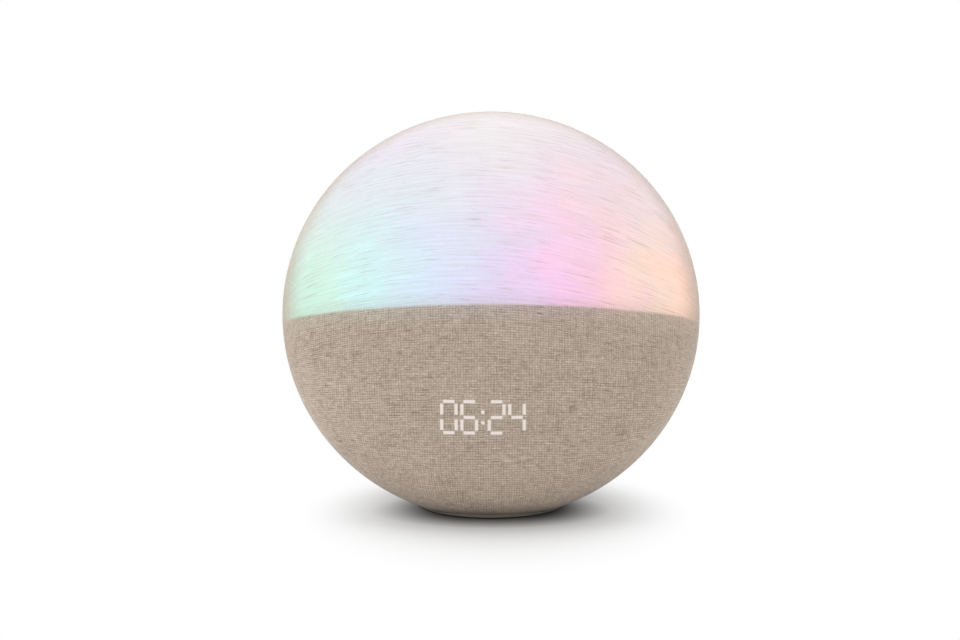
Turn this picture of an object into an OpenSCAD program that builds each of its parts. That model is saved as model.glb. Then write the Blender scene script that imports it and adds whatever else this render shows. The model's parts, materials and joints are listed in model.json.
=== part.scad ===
// Sunrise alarm clock: a round, lens-shaped bedside light that leans back on a small
// foot. Woven cloth covers the whole front. Behind its upper part is the light, behind
// its lower part a four-digit display. The moulded back holds the loudspeaker, two push
// buttons on top, a rocker key on each side, the alarm switch and the power inlet.
// Millimetres. +Z up, front towards -Y, origin on the table under the middle of the box.

/* [Body] */
// Diameter of the round body, seen from the front
body_d = 206; // [198:1:216]
// How far the front bulges out before the rim
front_bulge = 54; // [51:0.5:57]
// Radius of the turn from the rim into the front face
front_edge_r = 37.5; // [35:0.5:40]
// How far the back bulges out behind the rim
rear_bulge = 47; // [45:0.5:50]
// Radius of the turn from the rim into the back face
rear_edge_r = 30; // [28:0.5:32]
// Angle by which the body leans back
lean_back = 16; // [14:0.5:17]
// How much of the lens's lower edge the flat base cuts off
base_cut = 5.5; // [5:0.5:7]

/* [Walls] */
// Thickness of the woven cover
fabric_t = 1; // [0.8:0.1:1.4]
// Wall of the two front domes under the cover
dome_wall = 2.2; // [1.8:0.1:2.6]
// Wall of the rear shell
rear_wall = 2.5; // [2:0.1:3]
// Thickness of the round frame between front and back
frame_t = 3; // [2.5:0.1:3.5]
// Width of the screw flange inside the front domes
flange_w = 8.8; // [8:0.1:9.6]
// Thickness of that flange
flange_t = 2.5; // [2:0.1:3]
// Width of the groove between cover and rear shell
groove_w = 1; // [0.8:0.1:1.4]
// Depth of that groove
groove_depth = 1.2; // [1:0.1:1.4]
// Width of the ledge in the rear shell that the frame rests on
ledge_w = 3.6; // [3:0.1:4]

/* [Light] */
// How far the edge of the lit part lies below the middle of the rim
seam_drop = 14.2; // [10:0.2:18]
// Thickness of the opaque divider under the light
divider_t = 2; // [1.6:0.1:2.6]
// Thickness of the reflector tray's floor
tray_t = 2; // [1.6:0.1:2.4]
// Height of the reflector tray's wall
tray_wall_h = 12; // [8:0.5:14]
// Thickness of the aluminium light board
led_board_t = 1.6; // [1.2:0.1:2]
// Distance between neighbouring light chips
led_pitch = 13; // [12:0.5:15]
// Side of one light chip
led_size = 5; // [4:0.5:5]

/* [Display] */
// Sideways place of the display's middle
display_x = -3.5; // [-8:0.5:8]
// Angle from the front's pole down to the display's middle
display_drop = 20.8; // [19:0.2:22]
// Width of a digit, between the middles of its bars
digit_w = 6.3; // [5.8:0.1:6.6]
// Height of a digit, between the middles of its bars
digit_h = 13.7; // [12:0.1:14]
// Distance between the two digits of a pair
digit_pitch = 8.8; // [8.6:0.1:9.2]
// Distance from the colon to the digit beside it
colon_pitch = 5.9; // [5.6:0.1:6.4]
// Width of a display bar
bar_w = 1.35; // [1.1:0.05:1.5]
// Depth of the display block
mask_depth = 9; // [8:0.5:11]

/* [Base] */
// Thickness of the rubber foot ring
foot_t = 0.8; // [0.6:0.1:1.2]
// Thickness of the base pan
pan_t = 1.4; // [1.2:0.1:1.8]
// Diameter of the base pan and of the flare above it
base_d = 76; // [74:1:82]
// How far the base stands out in front of the dome's lower edge
base_lip = 0.5; // [0.5:0.1:1.5]
// Diameter of the flare's neck
neck_d = 46; // [42:1:48]
// Height at which the flare ends in its neck
neck_z = 27; // [25:0.5:29]
// Width of the rubber foot ring
foot_w = 6; // [5:0.5:6.5]

/* [Top buttons] */
// Diameter of a top button
button_d = 17; // [15:0.5:18]
// Angle from the top to a button, seen from the front
button_azimuth = 13; // [12:0.5:16]
// Angle by which a button lies behind the rim
button_tilt = 40; // [38:0.5:43]
// How far a top button travels
button_travel = 0.6; // [0.4:0.05:0.7]

/* [Side keys] */
// Length of a side key
key_l = 36; // [32:0.5:38]
// Width of a side key
key_w = 10; // [9:0.2:11]
// Angle from the top to a side key, seen from the front
key_azimuth = 78; // [74:1:84]
// Angle by which a side key lies behind the rim
key_tilt = 35; // [34:0.5:38]
// How far the key's pivot lies below the surface
pivot_depth = 6.5; // [6:0.1:7]
// Radius of the key's axle
axle_r = 1.25; // [1:0.05:1.4]
// Distance from the key's middle to each of its two switches
key_reach = 12; // [10:0.5:13]

/* [Back] */
// How far the loudspeaker's axis lies above the middle of the rim
speaker_up = 20; // [18:0.5:24]
// Diameter of the grille insert
grille_d = 54; // [52:0.5:56]
// Diameter of a grille hole
grille_hole_d = 1.9; // [1.4:0.1:2.2]
// Distance between the rings of grille holes
grille_pitch = 3.9; // [3.6:0.1:4]
// How far the alarm switch lies below the middle of the rim
switch_drop = 22; // [21:0.5:24]
// How far the alarm switch slides
switch_travel = 4; // [3:0.5:5]
// How far the power inlet lies below the middle of the rim
inlet_drop = 44; // [42:0.5:45]
// Radius of the round recess around the power inlet
inlet_r = 5.2; // [5:0.1:5.6]
// Depth of that recess
inlet_depth = 4.6; // [4:0.1:5]
// Radius of the power jack's bore
jack_bore_r = 3.1; // [2.8:0.1:3.3]
// Radius of the power jack's centre pin
jack_pin_r = 1.05; // [0.8:0.05:1.3]

/* [Boards] */
// Width of the main board
main_w = 84; // [80:1:90]
// Height of the main board
main_h = 46; // [44:1:50]
// Thickness of the small circuit boards
board_t = 1.6; // [1.2:0.1:1.8]

/* [Fits] */
// Gap round a sliding button or switch
slide_gap = 0.25; // [0.2:0.05:0.35]
// Gap round a rocker key
rocker_gap = 0.4; // [0.35:0.05:0.5]
// Gap round an axle or a screw in its hole
bore_gap = 0.06; // [0.04:0.01:0.08]
// Gap between fixed parts that slip into each other
part_gap = 0.3; // [0.2:0.05:0.4]

/* [Hidden] */
$fn = 96;
body_r = body_d / 2;
base_r = base_d / 2;
neck_r = neck_d / 2;
grille_r = grille_d / 2;
far = 3 * body_d;

// Radius of the arc that closes a half lens over its edge arc
function crown_r(radius, bulge, edge_r) =
    (pow(radius - edge_r, 2) + pow(bulge, 2) - pow(edge_r, 2)) / (2 * (bulge - edge_r));
front_crown_r = crown_r(body_r, front_bulge, front_edge_r);
rear_crown_r = crown_r(body_r, rear_bulge, rear_edge_r);

// The rim's middle is placed so that the whole clock is centred front to back
front_reach = front_crown_r - (front_crown_r - front_bulge) * cos(lean_back);
rear_reach = rear_crown_r - (rear_crown_r - rear_bulge) * cos(lean_back);
rim_centre_y = (front_reach - rear_reach) / 2;

// The rim's middle stands so high that the base cuts the lens's lower edge off on the pan's top
pan_top = foot_t + pan_t;
edge_centre_z = pan_top - base_cut + front_edge_r;
rim_centre_z = edge_centre_z + (body_r - front_edge_r) * cos(lean_back);

// Depth of the back's outer surface at a distance from the axis
function back_z(rho) =
    rear_crown_r - rear_bulge - sqrt(pow(rear_crown_r, 2) - pow(rho, 2));

// Base: its disc stands out in front of the edge that the cut leaves on the dome
edge_centre_y = rim_centre_y - (body_r - front_edge_r) * sin(lean_back);
dome_front_y = edge_centre_y - sqrt(pow(front_edge_r, 2) - pow(edge_centre_z - pan_top, 2));
base_y = dome_front_y - base_lip + base_r;
flare_lip = 1.2;
neck_rise = 12;
neck_top = neck_z + neck_rise;

// Rings and screws around the rim
dome_inset = fabric_t + dome_wall;
flange_r = body_r - dome_inset - flange_w;
screw_r = 1.5;
screw_head_r = 2.8;
screw_head_h = 1.6;
rim_boss_r = 3.4;
rim_boss_h = 9;
rim_screw_reach = rim_boss_h - 2;
tip_room = 0.4;
rim_screw_circle = flange_r + 2;
upper_screws = [0, 58, -58];
lower_screws = [118, 148, -148, -118];
frame_r = body_r - rear_wall - 2 * part_gap;
ledge_r = body_r - rear_wall - ledge_w;
ledge_t = 2;

// Light: tray, board and chips, stacked in front of the frame
tray_r = flange_r - 2;
tray_wall_t = 1.6;
led_board_inset = 7;
led_board_r = tray_r - led_board_inset;
led_board_z = tray_t;
led_z = led_board_z + led_board_t;
led_h = 1.4;
led_board_gap = 3;
led_edge = 7;
led_first_y = led_board_gap - seam_drop + led_edge;
led_rows = floor((led_board_r - led_first_y) / led_pitch);
led_columns = floor(led_board_r / led_pitch);
led_screws = [[-40, 20], [40, 20], [-30, 62], [30, 62]];
led_cable_y = led_first_y + led_pitch / 2;
cable_hole_r = 3.5;

// Display: block, pipes and board, stacked inwards from the cover
mask_border = 3.15;
mask_h = digit_h + 2 * mask_border;
digit_slack = 4.7;
mask_w = 2 * (digit_pitch + colon_pitch + mask_border) + digit_w + digit_slack;
mask_front = 0.2;
display_ear = 6;
display_rim = 2.5;
display_post_gap = 3.3;
display_board_w = mask_w + 2 * display_ear;
display_board_h = mask_h + 2 * display_rim;
display_post_x = mask_w / 2 + display_post_gap;
display_post_r = 2.6;
bar_web = 0.35;
bar_h_l = digit_w - bar_w;
bar_v_l = digit_h / 2 - bar_w - 2 * bar_web;
colon_r = 0.85;
colon_dots = 4.6;
pipe_gap = 0.05;
pipe_lift = 2;
pipe_led_w = 0.9;
pipe_led_h = 0.7;
digit_places = [-colon_pitch - digit_pitch, -colon_pitch, colon_pitch, colon_pitch + digit_pitch];

// Buttons and keys: plunger, switch and board, stacked inwards along each key's own axis
proud = 0.6;
small_screw_r = 1;
small_head_r = 1.9;
small_head_h = 1.2;
board_screw_reach = 2.6;
post_r = 2;
switch_size = 6;
switch_h = 3.5;
plunger_r = 1.7;
plunger_h = 1.4;
key_board_t = 1.2;
button_r = button_d / 2;
inner_edge_r = rear_edge_r - rear_wall;
function sag(radius, half) = radius - sqrt(pow(radius, 2) - pow(half, 2));
collar_lip = 1.3;
collar_r = button_r + collar_lip;
collar_top = -rear_wall - sag(inner_edge_r, collar_r) - part_gap;
collar_t = 1;
stem_l = 1;
stem_tip = collar_top - collar_t - stem_l;
dish_r = 2 * button_d;
dish_depth = 0.5;
button_plunger_top = stem_tip - button_travel - 0.1;
button_board_top = button_plunger_top - plunger_h - switch_h;
button_ear = 4.7;
button_post_gap = 2.7;
button_board_w = 2 * (collar_r + button_ear);
button_board_h = 11;
button_post_x = collar_r + button_post_gap;

key_bottom = -pivot_depth + axle_r;
nub_l = 2;
nub_r = 1.5;
nub_tip = key_bottom - nub_l;
key_swing = 1.8;
nub_dip = key_reach * sin(key_swing);
key_plunger_top = nub_tip - nub_dip - 0.08;
key_board_top = key_plunger_top - plunger_h - switch_h;
key_post_gap = 2.9;
key_post_x = key_l / 2 + key_post_gap;
key_board_w = 2 * (key_post_x + post_r);
ear_t = 2;
ear_w = 3 * axle_r + 1;
ear_gap = 0.8;
ear_y = key_w / 2 + ear_gap;
ear_wall = 1.2;
ear_bottom = -pivot_depth - axle_r - ear_wall;
axle_l = 2 * (ear_y + ear_t);

// Loudspeaker, stacked forwards from its ring on the rear shell
speaker_ring_w = 5.5;
grille_ledge = 1.5;
speaker_ring_r = grille_r + speaker_ring_w;
speaker_ring_in = grille_r - grille_ledge;
speaker_ring_h = 1.2;
speaker_z = back_z(speaker_up + speaker_ring_r) + rear_wall + speaker_ring_h;
gasket_t = 1;
speaker_flange_t = 1.2;
speaker_flange_r = speaker_ring_r - 1;
basket_inset = 3;
basket_r = grille_r - basket_inset;
basket_back_r = 14;
basket_h = 12;
basket_t = 1.2;
basket_window_w = 8;
cone_t = 0.6;
roll_step = 1.3;
cone_step = 1.4;
cone_edge_r = basket_r - roll_step;
roll_r = cone_edge_r - roll_step;
cone_r = roll_r - cone_step;
cap_r = 7;
cap_depth = 3;
cap_z = basket_h - cap_depth;
magnet_h = 8;
magnet_r = 15;
speaker_screw_out = 2.9;
speaker_screw_circle = grille_r + speaker_screw_out;
speaker_screw_reach = 2.2;
grille_rings = floor((speaker_ring_in - 1 - grille_hole_d / 2) / grille_pitch);

// Alarm switch: pocket, knob and switch body
pocket_room = 11;
pocket_w = switch_travel + pocket_room;
pocket_h = 7;
pocket_wall = 2.5;
pocket_depth = 2.4;
pocket_floor = back_z(switch_drop) + pocket_depth;
switch_plate_t = 1.6;
knob_w = 6;
knob_h = 5.6;
knob_stem_w = 3;
knob_stem_h = 2.2;
knob_stem_reach = 1.6;
knob_t = 1.35;
knob_gap = 0.15;
knob_rib_w = 0.8;
knob_rib_h = 0.6;
knob_rib_pitch = 2;
switch_ends = 6;
switch_body_w = knob_stem_w + switch_travel + switch_ends;
switch_body_h = 6.4;
switch_body_d = 5.5;

// Power inlet: flat face, recess, floor and jack
inlet_rim = 2.8;
inlet_boss_w = 2.2;
inlet_face_r = inlet_r + inlet_rim;
inlet_boss_r = inlet_face_r + inlet_boss_w;
inlet_sink = 0.4;
inlet_face = back_z(inlet_drop + inlet_face_r) + inlet_sink;
inlet_floor = inlet_face + inlet_depth;
inlet_floor_t = 1.6;
jack_collar_r = jack_bore_r + 0.8;
jack_w = 11;
jack_l = 12;
jack_end_t = 3;
jack_pin_in = 0.5;

// Main board behind the frame
main_drop = 6;
main_top = -seam_drop - main_drop;
main_gap = 4.4;
main_z = -frame_t - main_gap;
main_back = main_z - board_t;
main_post_r = 3;
main_screw_in = 3.5;
main_screw_x = main_w / 2 - main_screw_in;
main_screw_rows = [main_top - main_screw_in, main_top - main_h + main_screw_in];
main_screws = [for (x = [-1, 1], y = main_screw_rows) [x * main_screw_x, y]];
wire_z = -frame_t - main_gap / 2;
wire_d = 2.2;
wire_inset = 18;
wire_x = main_w / 2 - wire_inset;
window_w = 40;
window_h = 12;
ribbon_w = 16;
ribbon_t = 1;
window_y = (front_bulge - front_crown_r + frame_t / 2) * tan(display_drop);
cable_stub = 3;
led_plug_drop = 3;
speaker_plug_drop = 5;
top_plug_drop = 4;
side_plug_drop = 16;
side_plug_shift = 10;
top_wire_inset = 25;
side_wire_inset = 33;
power_wire_r = 1.6;
speaker_cable_turn = 25;

// Parts on the back of the main board: place on the board, then size
processor = [-8, 10, 12, 12, 1.4];
memory_chip = [-26, 14, 8, 6, 1.6];
power_coil = [27, 4, 8, 8, 4];
wifi_box = [-24, -8, 25, 16, 3.2];
capacitors = [[14, -14], [26, -14]];
capacitor_r = 4;
capacitor_h = 10;

// Base screws
base_screw_out = 3;
base_screw_circle = neck_r + base_screw_out;
base_screws_at = [0, 60, -60];
base_seat_t = 1.4;
base_screw_reach = 4;
foot_inset = 0.8;
base_boss_r = 3.5;
dimple_r = 4.8;
dimple_h = 2.4;

// ---------------------------------------------------------------- frames of reference

// The body's own frame: origin in the middle of the rim, +Y up the face, +Z out of the front
module lean() {
    translate([0, rim_centre_y, rim_centre_z])
        rotate([90 - lean_back, 0, 0])
            children();
}

// On the rear shell's edge: origin on the outer surface, +Z straight out of it
module on_rear_edge(azimuth, tilt) {
    rotate([0, 0, -azimuth])
        translate([0, body_r - rear_edge_r, 0])
            rotate([-(90 + tilt), 0, 0])
                translate([0, 0, rear_edge_r])
                    children();
}

// On the front dome at the display: origin on the cover's inner side, +Z straight out
module on_display() {
    translate([0, 0, front_bulge - front_crown_r])
        rotate([display_drop, 0, 0])
            translate([display_x, 0, front_crown_r - fabric_t])
                children();
}

// ---------------------------------------------------------------- shared shapes

// Half of the lens section: an edge arc and the crown arc that runs on from it
module lens_section(radius, bulge, edge_r) {
    crown = crown_r(radius, bulge, edge_r);
    tangent = atan2(crown - bulge, radius - edge_r);
    corner = [radius - edge_r, 0];
    intersection() {
        translate([0, bulge - crown]) circle(crown);
        polygon([[0, 0], corner, corner + far * [cos(tangent), sin(tangent)], [0, far]]);
    }
    intersection() {
        translate(corner) circle(edge_r);
        translate(corner) square(edge_r + 1);
    }
}

module front_dome(inset) {
    rotate_extrude() lens_section(body_r - inset, front_bulge - inset, front_edge_r - inset);
}

module rear_dome(inset) {
    mirror([0, 0, 1])
        rotate_extrude() lens_section(body_r - inset, rear_bulge - inset, rear_edge_r - inset);
}

module ring(inner_r, outer_r, height) {
    difference() {
        cylinder(r = outer_r, h = height);
        translate([0, 0, -1]) cylinder(r = inner_r, h = height + 2);
    }
}

// A bar with half-round ends, standing on z = 0
module slot(length, width, height) {
    for (side = [-1, 1])
        translate([side * (length - width) / 2, 0, 0]) cylinder(d = width, h = height);
    translate([-(length - width) / 2, -width / 2, 0]) cube([length - width, width, height]);
}

// A box centred on x and y, from z = low to z = high
module block(width, depth, low, high) {
    translate([-width / 2, -depth / 2, low]) cube([width, depth, high - low]);
}

module rod(a, b, r) {
    v = b - a;
    translate(a) rotate([0, acos(v.z / norm(v)), atan2(v.y, v.x)]) cylinder(r = r, h = norm(v), $fn = 24);
}

module wire(points, d) {
    for (i = [1 : len(points) - 1]) rod(points[i - 1], points[i], d / 2);
    for (i = [1 : len(points) - 2]) translate(points[i]) sphere(d = 1.08 * d, $fn = 24);
}

module small_screw(length) {
    translate([0, 0, -small_head_h]) cylinder(r = small_head_r, h = small_head_h);
    cylinder(r = small_screw_r, h = length);
}

// Everything under the pan's top
module below_pan_top() {
    translate([-far, -far, -far]) cube([2 * far, 2 * far, far + pan_top]);
}

module upper_half() {
    translate([-far, -seam_drop, -far]) cube(2 * far);
}

module lower_half() {
    translate([-far, -seam_drop - divider_t - 2 * far, -far]) cube(2 * far);
}

// ---------------------------------------------------------------- front

module fabric_cover() {
    color([0.68, 0.62, 0.56])
    difference() {
        lean() front_dome(0);
        lean() front_dome(fabric_t);
        below_pan_top();
    }
}

// Wall, flange and screw bosses that the two front domes have alike
module dome_parts(screws) {
    difference() {
        union() {
            difference() {
                front_dome(fabric_t);
                front_dome(dome_inset);
            }
            intersection() {
                front_dome(fabric_t + dome_wall / 2);
                ring(flange_r, body_r, flange_t);
            }
            for (azimuth = screws)
                rotate([0, 0, -azimuth])
                    translate([0, rim_screw_circle, 0]) cylinder(r = rim_boss_r, h = rim_boss_h);
        }
        for (azimuth = screws)
            rotate([0, 0, -azimuth])
                translate([0, rim_screw_circle, -1])
                    cylinder(r = screw_r + bore_gap, h = rim_screw_reach + 2);
    }
}

module light_diffuser() {
    color([0.95, 0.94, 0.92])
    lean() intersection() {
        dome_parts(upper_screws);
        upper_half();
    }
}

module lower_baffle() {
    color([0.25, 0.24, 0.23])
    difference() {
        lean() {
            difference() {
                intersection() {
                    dome_parts(lower_screws);
                    lower_half();
                }
                on_display() block(mask_w + 2 * part_gap, mask_h + 2 * part_gap, -mask_depth, 3);
            }
            intersection() {
                front_dome(fabric_t + dome_wall / 2);
                on_display() for (side = [-1, 1]) translate([side * display_post_x, 0, 0])
                    difference() {
                        translate([0, 0, -mask_depth]) cylinder(r = display_post_r, h = mask_depth);
                        translate([0, 0, -mask_depth - 1])
                            cylinder(r = small_screw_r + bore_gap, h = 1 + board_screw_reach + tip_room);
                    }
            }
        }
        below_pan_top();
    }
}

module light_divider() {
    color([0.9, 0.9, 0.88])
    lean() intersection() {
        front_dome(fabric_t);
        translate([-far, -seam_drop - divider_t, -1]) cube([2 * far, divider_t, far]);
    }
}

module reflector_tray() {
    color([0.96, 0.96, 0.95])
    lean() difference() {
        intersection() {
            union() {
                cylinder(r = tray_r, h = tray_t);
                ring(tray_r - tray_wall_t, tray_r, tray_wall_h);
            }
            upper_half();
        }
        translate([0, led_cable_y, -1]) cylinder(r = cable_hole_r, h = tray_t + 2);
        for (p = led_screws) translate([p.x, p.y, -1])
            cylinder(r = small_screw_r + bore_gap, h = tray_t + 2);
    }
}

module led_board() {
    color([0.85, 0.87, 0.88])
    lean() difference() {
        intersection() {
            translate([0, 0, led_board_z]) cylinder(r = led_board_r, h = led_board_t);
            translate([-far, led_board_gap - seam_drop, 0]) cube(2 * far);
        }
        for (p = led_screws) translate([p.x, p.y, 0])
            cylinder(r = small_screw_r + bore_gap, h = 2 * led_z);
    }
}

function clear_of_screws(x, y) =
    min([for (p = led_screws) norm([x, y] - p)]) > led_size / 2 + small_head_r + 2;

module led_chips() {
    color([1, 0.93, 0.7])
    lean() for (row = [0 : led_rows], column = [-led_columns : led_columns]) {
        x = column * led_pitch;
        y = led_first_y + row * led_pitch;
        if (norm([x, y]) < led_board_r - led_size && clear_of_screws(x, y))
            translate([x, y, 0]) block(led_size, led_size, led_z, led_z + led_h);
    }
}

module led_screws() {
    color("silver")
    lean() for (p = led_screws) translate([p.x, p.y, led_z])
        mirror([0, 0, 1]) small_screw(led_z + frame_t - 1.5 * tip_room);
}

// ---------------------------------------------------------------- display

// One digit's bars: middle, and whether the bar stands up
bars = [
    [0, digit_h / 2, false], [0, 0, false], [0, -digit_h / 2, false],
    [-digit_w / 2, digit_h / 4, true], [digit_w / 2, digit_h / 4, true],
    [-digit_w / 2, -digit_h / 4, true], [digit_w / 2, -digit_h / 4, true]];

// All bars and dots as upright prisms, each grown sideways by a margin
module display_prisms(low, high, grow) {
    for (place = digit_places, bar = bars)
        translate([place + bar[0], bar[1], 0])
            if (bar[2]) block(bar_w + 2 * grow, bar_v_l + 2 * grow, low, high);
            else block(bar_h_l + 2 * grow, bar_w + 2 * grow, low, high);
    for (side = [-1, 1])
        translate([0, side * colon_dots / 2, low]) cylinder(r = colon_r + grow, h = high - low);
}

module display_mask() {
    color([0.08, 0.08, 0.08])
    lean() difference() {
        intersection() {
            front_dome(fabric_t + mask_front, $fn = 240);
            on_display() block(mask_w, mask_h, -mask_depth, 2);
        }
        on_display() display_prisms(-mask_depth - 1, 3, pipe_gap);
    }
}

module display_segments() {
    color([0.95, 0.95, 0.92])
    lean() intersection() {
        front_dome(fabric_t + mask_front, $fn = 240);
        on_display() display_prisms(pipe_lift - mask_depth, 3, 0);
    }
}

module pipe_led(x, y) {
    translate([x, y, -mask_depth]) block(pipe_led_w, pipe_led_w, 0, pipe_led_h);
}

module display_leds() {
    color([1, 0.98, 0.85])
    lean() on_display() {
        for (place = digit_places, bar = bars) pipe_led(place + bar[0], bar[1]);
        for (side = [-1, 1]) pipe_led(0, side * colon_dots / 2);
    }
}

module display_board() {
    color([0.1, 0.35, 0.2])
    lean() on_display() difference() {
        block(display_board_w, display_board_h, -mask_depth - board_t, -mask_depth);
        for (side = [-1, 1]) translate([side * display_post_x, 0, -far])
            cylinder(r = small_screw_r + bore_gap, h = far);
    }
}

// ---------------------------------------------------------------- frame and its screws

module mid_frame() {
    color([0.82, 0.82, 0.8])
    difference() {
        lean() difference() {
            union() {
                translate([0, 0, -frame_t]) cylinder(r = frame_r, h = frame_t);
                for (p = main_screws) translate([p.x, p.y, main_z]) cylinder(r = main_post_r, h = main_gap);
            }
            for (azimuth = concat(upper_screws, lower_screws))
                rotate([0, 0, -azimuth])
                    translate([0, rim_screw_circle, -far / 2]) cylinder(r = screw_r + bore_gap, h = far);
            for (p = led_screws) translate([p.x, p.y, tip_room - frame_t])
                cylinder(r = small_screw_r + bore_gap, h = far);
            for (p = main_screws) translate([p.x, p.y, main_z - 1])
                cylinder(r = small_screw_r + bore_gap, h = main_gap + frame_t);
            translate([0, led_cable_y, -far / 2]) cylinder(r = cable_hole_r, h = far);
            translate([display_x, window_y, 0]) block(window_w, window_h, -far, far);
        }
        translate([0, 0, part_gap]) below_pan_top();
    }
}

module front_screws() {
    color("silver")
    lean() for (azimuth = concat(upper_screws, lower_screws))
        rotate([0, 0, -azimuth]) translate([0, rim_screw_circle, -frame_t]) {
            translate([0, 0, -screw_head_h]) cylinder(r = screw_head_r, h = screw_head_h);
            cylinder(r = screw_r, h = frame_t + rim_screw_reach);
        }
}

// ---------------------------------------------------------------- rear shell

// Trumpet-shaped foot: a flare from the pan's edge up to a neck inside the shell
module flare(inset) {
    run = base_r - neck_r;
    rise = neck_z - pan_top - flare_lip;
    flare_r = (pow(run, 2) + pow(rise, 2)) / (2 * run);
    translate([0, base_y, 0]) rotate_extrude() difference() {
        square([base_r - inset, neck_top - inset]);
        translate([neck_r + flare_r, neck_z]) circle(flare_r + inset);
        translate([neck_r - inset, neck_z]) square([far, far]);
    }
}

module at_base_screws() {
    for (azimuth = base_screws_at)
        translate([0, base_y, 0]) rotate([0, 0, -azimuth]) translate([0, base_screw_circle, 0]) children();
}

module key_parts_on_shell() {
    for (side = [-1, 1]) on_rear_edge(side * key_azimuth, key_tilt) {
        for (along = [-1, 1]) translate([along * key_post_x, 0, key_board_top])
            cylinder(r = post_r, h = -key_board_top);
        for (across = [-1, 1]) translate([0, across * (ear_y + ear_t / 2), 0])
            block(ear_w, ear_t, ear_bottom, 0);
    }
    for (side = [-1, 1]) on_rear_edge(side * button_azimuth, button_tilt)
        for (along = [-1, 1]) translate([along * button_post_x, 0, button_board_top])
            cylinder(r = post_r, h = -button_board_top);
}

module key_holes_in_shell() {
    for (side = [-1, 1]) on_rear_edge(side * key_azimuth, key_tilt) {
        translate([0, 0, -pivot_depth - axle_r])
            slot(key_l + 2 * rocker_gap, key_w + 2 * rocker_gap, 2 * pivot_depth);
        translate([0, axle_l / 2 + 1, -pivot_depth]) rotate([90, 0, 0])
            cylinder(r = axle_r + bore_gap, h = axle_l + 2);
        for (along = [-1, 1]) translate([along * key_post_x, 0, key_board_top - 1])
            cylinder(r = small_screw_r + bore_gap, h = 4);
    }
    for (side = [-1, 1]) on_rear_edge(side * button_azimuth, button_tilt) {
        translate([0, 0, -button_r]) cylinder(r = button_r + slide_gap, h = 2 * button_r);
        for (along = [-1, 1]) translate([along * button_post_x, 0, button_board_top - 1])
            cylinder(r = small_screw_r + bore_gap, h = 4);
    }
}

module rear_shell() {
    color([0.77, 0.72, 0.67])
    difference() {
        union() {
            difference() {
                union() {
                    difference() {
                        union() {
                            lean() rear_dome(0);
                            flare(0);
                        }
                        lean() translate([-far, -far, -groove_w]) cube(2 * far);
                    }
                    lean() rear_dome(groove_depth);
                }
                lean() rear_dome(rear_wall);
                difference() {
                    flare(rear_wall);
                    lean() rear_dome(0);
                }
            }
            lean() intersection() {
                rear_dome(rear_wall / 2);
                union() {
                    translate([0, 0, -frame_t - ledge_t]) ring(ledge_r, body_r, ledge_t);
                    translate([0, speaker_up, speaker_z - rear_bulge])
                        ring(speaker_ring_in, speaker_ring_r, rear_bulge);
                    translate([0, -switch_drop, 0])
                        block(pocket_w + 2 * pocket_wall, pocket_h + 2 * pocket_wall, -rear_bulge,
                            pocket_floor + switch_plate_t);
                    translate([0, -inlet_drop, -rear_bulge])
                        cylinder(r = inlet_boss_r, h = rear_bulge + inlet_floor + inlet_floor_t);
                    key_parts_on_shell();
                }
            }
            intersection() {
                flare(rear_wall / 2);
                at_base_screws() translate([0, 0, pan_top + dimple_h]) cylinder(r = base_boss_r, h = neck_z);
            }
        }
        lean() {
            key_holes_in_shell();
            difference() {
                translate([0, speaker_up, -far]) cylinder(r = grille_r + part_gap / 2, h = far);
                rear_dome(rear_wall);
            }
            for (turn = [45 : 90 : 315]) translate([0, speaker_up, speaker_z]) rotate([0, 0, turn])
                translate([speaker_screw_circle, 0, -speaker_screw_reach - tip_room])
                    cylinder(r = small_screw_r + bore_gap, h = speaker_screw_reach + 2);
            translate([0, -switch_drop, 0]) {
                block(pocket_w, pocket_h, -far, pocket_floor);
                block(knob_stem_w + switch_travel + 2 * slide_gap, knob_stem_h + 2 * slide_gap, -far, 0);
            }
            translate([0, -inlet_drop, -far]) {
                cylinder(r = inlet_face_r, h = far + inlet_face);
                cylinder(r = inlet_r, h = far + inlet_floor);
                cylinder(r = jack_collar_r + part_gap / 2, h = far);
            }
        }
        at_base_screws()
            cylinder(r = screw_r + bore_gap, h = pan_top + dimple_h + base_screw_reach + tip_room);
        below_pan_top();
    }
}

// ---------------------------------------------------------------- base

module base_pan() {
    color([0.66, 0.61, 0.56])
    difference() {
        union() {
            translate([0, base_y, foot_t]) cylinder(r = base_r, h = pan_t);
            intersection() {
                lean() {
                    front_dome(0);
                    rear_dome(0);
                }
                translate([0, 0, foot_t]) block(2 * far, 2 * far, 0, pan_t);
            }
            at_base_screws() translate([0, 0, foot_t]) cylinder(r = dimple_r, h = pan_t + dimple_h);
        }
        at_base_screws() {
            cylinder(r = screw_r + bore_gap, h = far);
            cylinder(r = screw_head_r + part_gap, h = pan_top + dimple_h - base_seat_t);
        }
    }
}

module rubber_foot() {
    color([0.05, 0.05, 0.05])
    translate([0, base_y, 0]) ring(base_r - foot_inset - foot_w, base_r - foot_inset, foot_t);
}

module base_screws() {
    color("silver")
    at_base_screws() translate([0, 0, pan_top + dimple_h - base_seat_t]) {
        translate([0, 0, -screw_head_h]) cylinder(r = screw_head_r, h = screw_head_h);
        cylinder(r = screw_r, h = base_seat_t + base_screw_reach);
    }
}

// ---------------------------------------------------------------- loudspeaker

module speaker_grille() {
    color([0.72, 0.67, 0.62])
    lean() difference() {
        intersection() {
            difference() {
                rear_dome(part_gap);
                rear_dome(rear_wall - bore_gap);
            }
            translate([0, speaker_up, -far]) cylinder(r = grille_r, h = far);
        }
        translate([0, speaker_up, -far]) {
            cylinder(d = grille_hole_d, h = far, $fn = 24);
            for (step = [1 : grille_rings], turn = [1 : 6 * step])
                rotate([0, 0, 60 * turn / step]) translate([step * grille_pitch, 0, 0])
                    cylinder(d = grille_hole_d, h = far, $fn = 24);
        }
    }
}

module at_speaker() {
    lean() translate([0, speaker_up, speaker_z]) children();
}

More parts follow.
